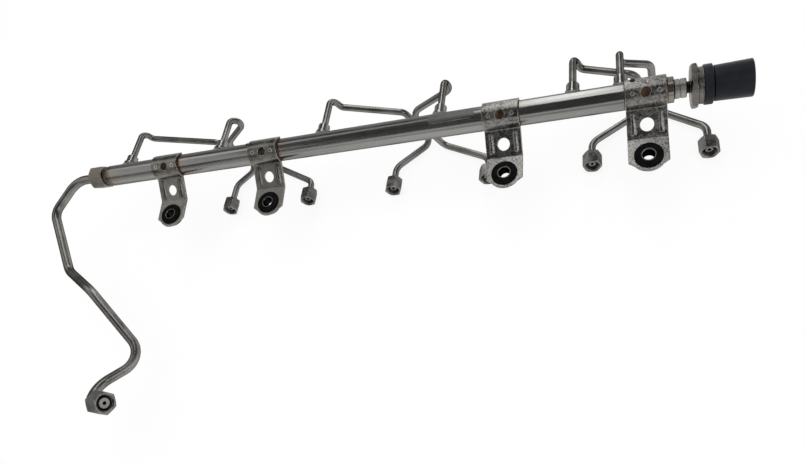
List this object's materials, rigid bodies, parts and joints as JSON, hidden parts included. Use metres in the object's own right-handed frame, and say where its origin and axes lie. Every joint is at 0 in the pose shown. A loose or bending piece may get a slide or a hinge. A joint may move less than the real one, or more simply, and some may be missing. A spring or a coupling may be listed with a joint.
{
  "type": "fuel rail",
  "caption": "High-pressure fuel rail for an inline engine, with bent injector pipes, a feed pipe, union nuts, rubber-isolated feet and an end pressure sensor.",
  "frame": {"origin": "axis of the first foot's bolt hole (the foot nearest the feed pipe), at the underside of its spacer sleeve, which is the mounting plane", "axes": "+X along the rail from the feed pipe to the pressure sensor, +Z along the foot bolts, away from the engine, +Y from the feet towards the rail"},
  "size_m": [0.6544, 0.3017, 0.0879],
  "materials": {
    "rail_steel": "polished",
    "pipe_steel": "polished",
    "nut_steel": "satin",
    "foot_steel": "zinc plated, grainy",
    "brazed_nut": "heat tinted",
    "spacer_steel": "satin",
    "isolator_rubber": "matt",
    "sensor_steel": "satin, warm",
    "hood_plastic": "matt",
    "pin_metal": "tinned",
    "seal_rubber": "matt"
  },
  "bodies": {
    "rail": {"rail_tube": "rail_steel", "port_sleeve_1": "rail_steel", "port_sleeve_2": "rail_steel", "port_sleeve_3": "rail_steel", "port_sleeve_4": "rail_steel", "port_sleeve_5": "rail_steel", "port_sleeve_6": "rail_steel", "injector_pipe_1": "pipe_steel", "injector_pipe_2": "pipe_steel", "injector_pipe_3": "pipe_steel", "injector_pipe_4": "pipe_steel", "injector_pipe_5": "pipe_steel", "injector_pipe_6": "pipe_steel", "inlet_pipe": "pipe_steel", "inlet_union_nut": "brazed_nut", "mounting_foot_1": "foot_steel", "isolator_1": "isolator_rubber", "spacer_sleeve_1": "spacer_steel", "mounting_foot_2": "foot_steel", "isolator_2": "isolator_rubber", "spacer_sleeve_2": "spacer_steel", "mounting_foot_3": "foot_steel", "isolator_3": "isolator_rubber", "spacer_sleeve_3": "spacer_steel", "mounting_foot_4": "foot_steel", "isolator_4": "isolator_rubber", "spacer_sleeve_4": "spacer_steel", "sensor_adapter": "brazed_nut", "sensor_hex_body": "sensor_steel", "sensor_crimp_ring": "sensor_steel", "connector_base_ring": "hood_plastic", "connector_hood": "hood_plastic", "connector_pins": "pin_metal", "connector_seal": "seal_rubber"},
    "injector_nut_1": {"injector_union_nut_1": "nut_steel"},
    "injector_nut_2": {"injector_union_nut_2": "nut_steel"},
    "injector_nut_3": {"injector_union_nut_3": "nut_steel"},
    "injector_nut_4": {"injector_union_nut_4": "nut_steel"},
    "injector_nut_5": {"injector_union_nut_5": "nut_steel"},
    "injector_nut_6": {"injector_union_nut_6": "nut_steel"},
    "pump_nut": {"pump_union_nut": "nut_steel"}
  },
  "joints": [
    {"name": "injector_nut_1_spin", "type": "hinge", "parent": "rail", "child": "injector_nut_1", "pos_m": [0.0298, 0.03346, -0.04262], "axis": [0, -0.9898, 0.1426], "continuous": true},
    {"name": "injector_nut_2_spin", "type": "hinge", "parent": "rail", "child": "injector_nut_2", "pos_m": [0.1208, 0.03346, -0.04262], "axis": [0, -0.9898, 0.1426], "continuous": true},
    {"name": "injector_nut_3_spin", "type": "hinge", "parent": "rail", "child": "injector_nut_3", "pos_m": [0.2118, 0.03346, -0.04262], "axis": [0, -0.9898, 0.1426], "continuous": true},
    {"name": "injector_nut_4_spin", "type": "hinge", "parent": "rail", "child": "injector_nut_4", "pos_m": [0.3028, 0.03346, -0.04262], "axis": [0, -0.9898, 0.1426], "continuous": true},
    {"name": "injector_nut_5_spin", "type": "hinge", "parent": "rail", "child": "injector_nut_5", "pos_m": [0.3938, 0.03346, -0.04262], "axis": [0, -0.9898, 0.1426], "continuous": true},
    {"name": "injector_nut_6_spin", "type": "hinge", "parent": "rail", "child": "injector_nut_6", "pos_m": [0.4848, 0.03346, -0.04262], "axis": [0, -0.9898, 0.1426], "continuous": true},
    {"name": "pump_nut_spin", "type": "hinge", "parent": "rail", "child": "pump_nut", "pos_m": [-0.02186, -0.18977, 0.01915], "axis": [0.9451, -0.1159, 0.3057], "continuous": true}
  ]
}
